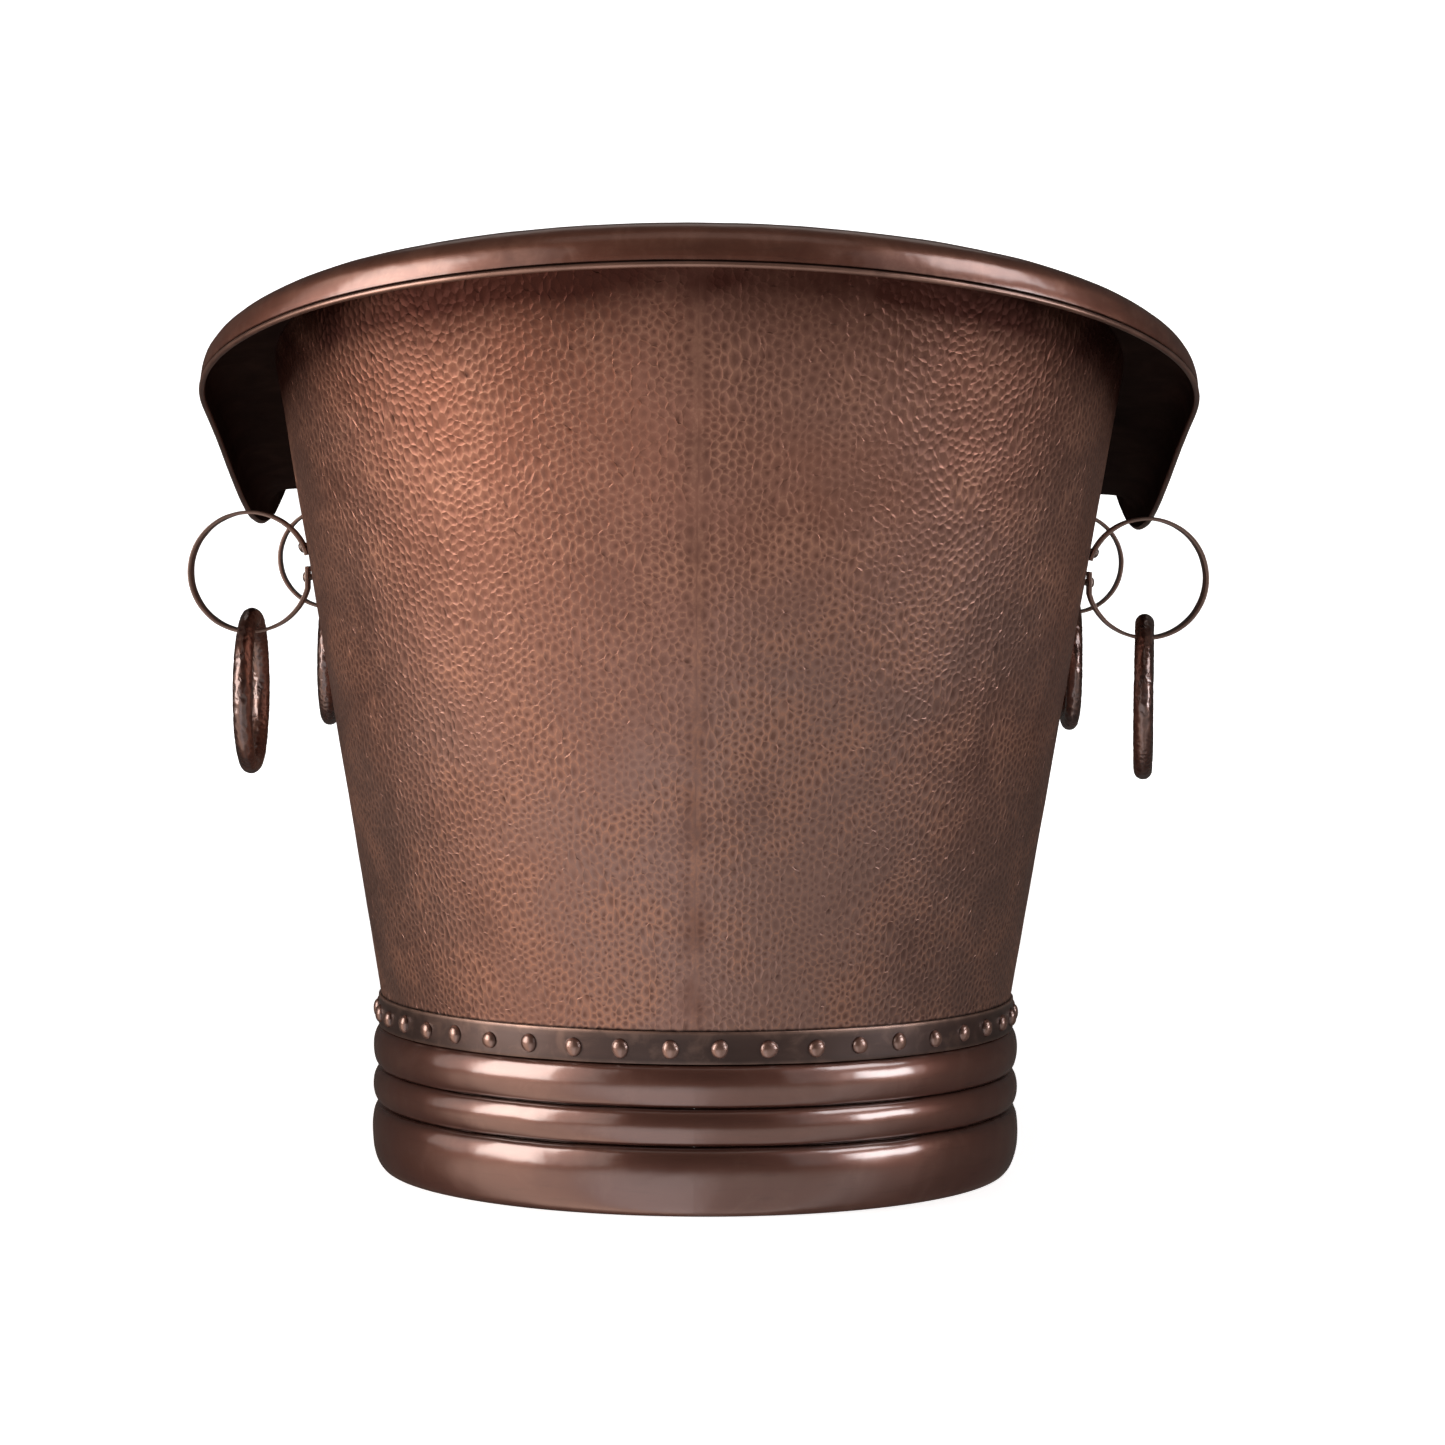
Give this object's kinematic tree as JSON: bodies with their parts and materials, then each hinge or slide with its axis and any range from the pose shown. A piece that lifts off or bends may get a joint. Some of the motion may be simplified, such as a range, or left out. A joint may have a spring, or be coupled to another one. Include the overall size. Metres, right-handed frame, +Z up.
{
  "type": "freestanding bathtub",
  "caption": "Double-ended freestanding bathtub of hammered copper with a dipped rolled rim, a riveted moulded foot and drop-ring handles.",
  "frame": {"origin": "on the floor under the middle of the tub", "axes": "+Z up, +Y along the tub, +X across it"},
  "size_m": [0.8632, 1.706, 0.7855],
  "materials": {
    "wall": "hammered antique copper, satin lacquer",
    "basin": "antique copper, lightly planished",
    "rim": "antique copper, polished",
    "band": "dark antique copper",
    "moulding": "antique copper, polished",
    "strap": "dark antique copper strap",
    "rivet": "antique copper rivet",
    "ring": "hammered antique copper, glossy",
    "drain": "oil-rubbed brass",
    "washer": "matt",
    "bearer": "dull steel"
  },
  "bodies": {
    "tub": {"wall_left": "wall", "rivet_band_left": "band", "foot_skirt_left": "band", "rib_upper_left": "moulding", "rib_lower_left": "moulding", "plinth_left": "moulding", "wall_right": "wall", "rivet_band_right": "band", "foot_skirt_right": "band", "rib_upper_right": "moulding", "rib_lower_right": "moulding", "plinth_right": "moulding", "rim_flange": "rim", "rim_bead": "band", "basin_shell_front": "basin", "basin_shell_rear": "basin", "basin_pan": "basin", "bearer_front": "bearer", "bearer_rear": "bearer", "bracket_front_left": "strap", "bracket_rivet_top_front_left": "rivet", "bracket_rivet_tab_front_left": "rivet", "bracket_front_right": "strap", "bracket_rivet_top_front_right": "rivet", "bracket_rivet_tab_front_right": "rivet", "bracket_rear_left": "strap", "bracket_rivet_top_rear_left": "rivet", "bracket_rivet_tab_rear_left": "rivet", "bracket_rear_right": "strap", "bracket_rivet_top_rear_right": "rivet", "bracket_rivet_tab_rear_right": "rivet", "drain_cup": "drain", "drain_nut": "drain", "drain_tailpiece": "drain", "drain_washer": "washer"},
    "handle_front_left": {"ring_front_left": "ring"},
    "handle_front_right": {"ring_front_right": "ring"},
    "handle_rear_left": {"ring_rear_left": "ring"},
    "handle_rear_right": {"ring_rear_right": "ring"},
    "plug": {"drain_plug": "drain"}
  },
  "joints": [
    {"name": "swing_front_left", "type": "hinge", "parent": "tub", "child": "handle_front_left", "pos_m": [-0.379, -0.37, 0.4777], "axis": [0.0175, 0.9998, 0], "range_deg": [-26, 115]},
    {"name": "swing_front_right", "type": "hinge", "parent": "tub", "child": "handle_front_right", "pos_m": [0.379, -0.37, 0.4777], "axis": [-0.1132, -0.9936, 0], "range_deg": [-26, 115]},
    {"name": "swing_rear_left", "type": "hinge", "parent": "tub", "child": "handle_rear_left", "pos_m": [-0.379, 0.37, 0.4777], "axis": [0, 1, 0], "range_deg": [-26, 115]},
    {"name": "swing_rear_right", "type": "hinge", "parent": "tub", "child": "handle_rear_right", "pos_m": [0.379, 0.37, 0.4777], "axis": [0, -1, 0], "range_deg": [-26, 115]},
    {"name": "plug_lift", "type": "slide", "parent": "tub", "child": "plug", "axis": [0, 0, 1], "range_m": [0, 0.012]}
  ]
}
